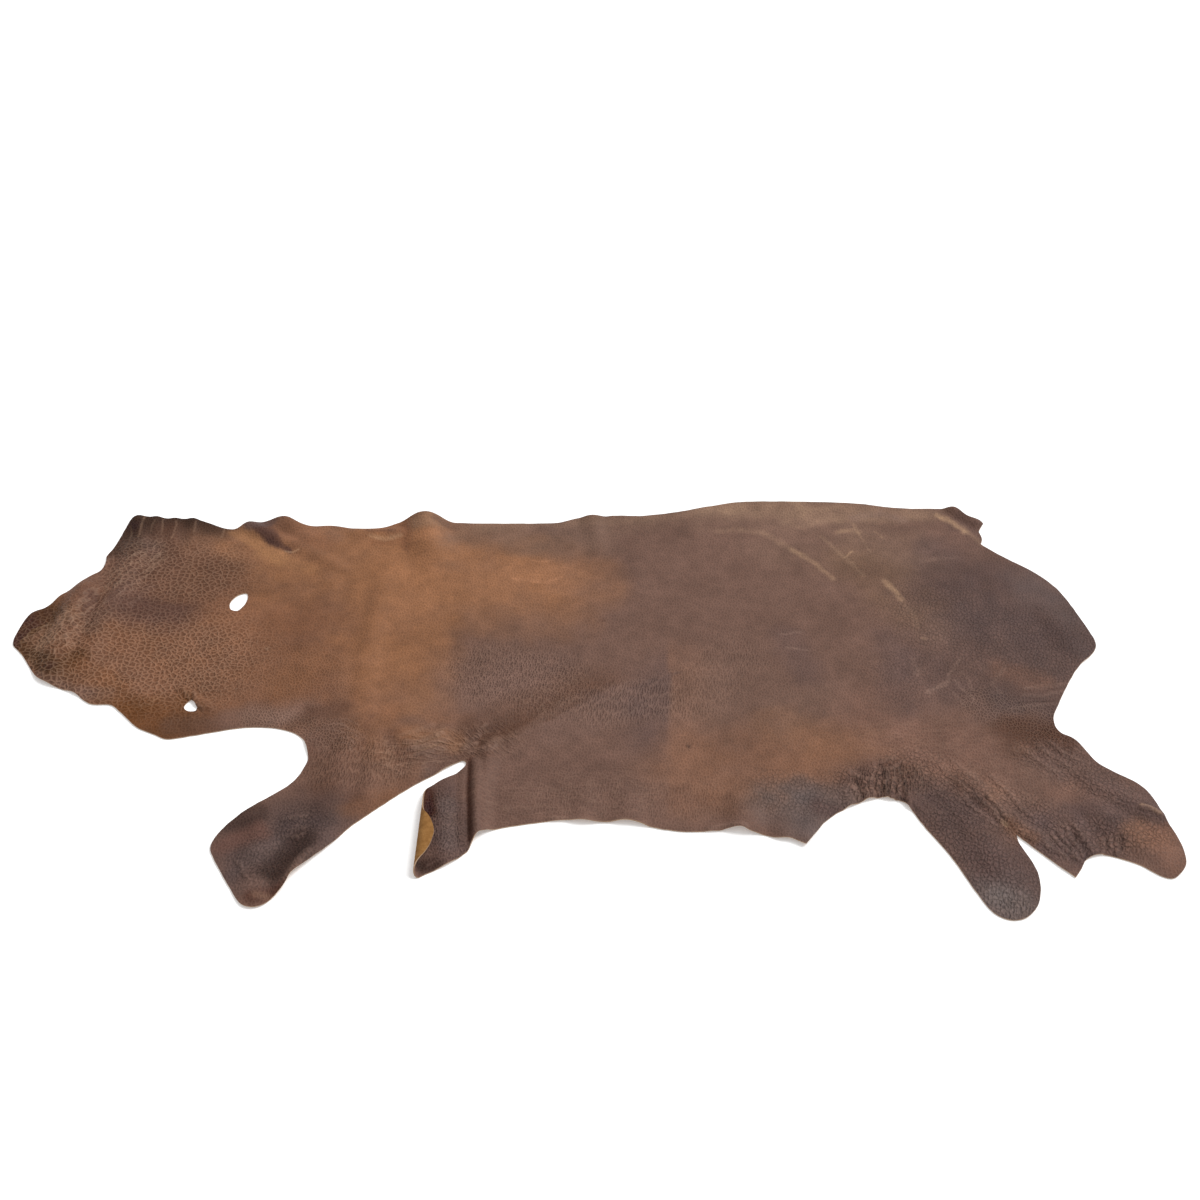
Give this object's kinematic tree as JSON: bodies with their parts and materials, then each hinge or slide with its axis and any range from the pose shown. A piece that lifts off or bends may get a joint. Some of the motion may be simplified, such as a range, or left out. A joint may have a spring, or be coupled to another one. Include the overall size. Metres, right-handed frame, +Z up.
{
  "type": "tanned bison leather side",
  "caption": "One-piece side of thick oil-tanned bison leather, grain up, with head, leg and flank outlines, soft buckles and a rolled brisket flap.",
  "frame": {"origin": "on the surface that the hide lies on, under the middle of its bounding box", "axes": "+X along the backbone from head to rump, +Y from the belly towards the backbone edge, +Z up out of the grain side"},
  "size_m": [2.2647, 1.1996, 0.0283],
  "materials": {
    "leather": "waxed pull-up, softly glossy"
  },
  "bodies": {
    "root": {"hide": "leather"}
  },
  "joints": []
}
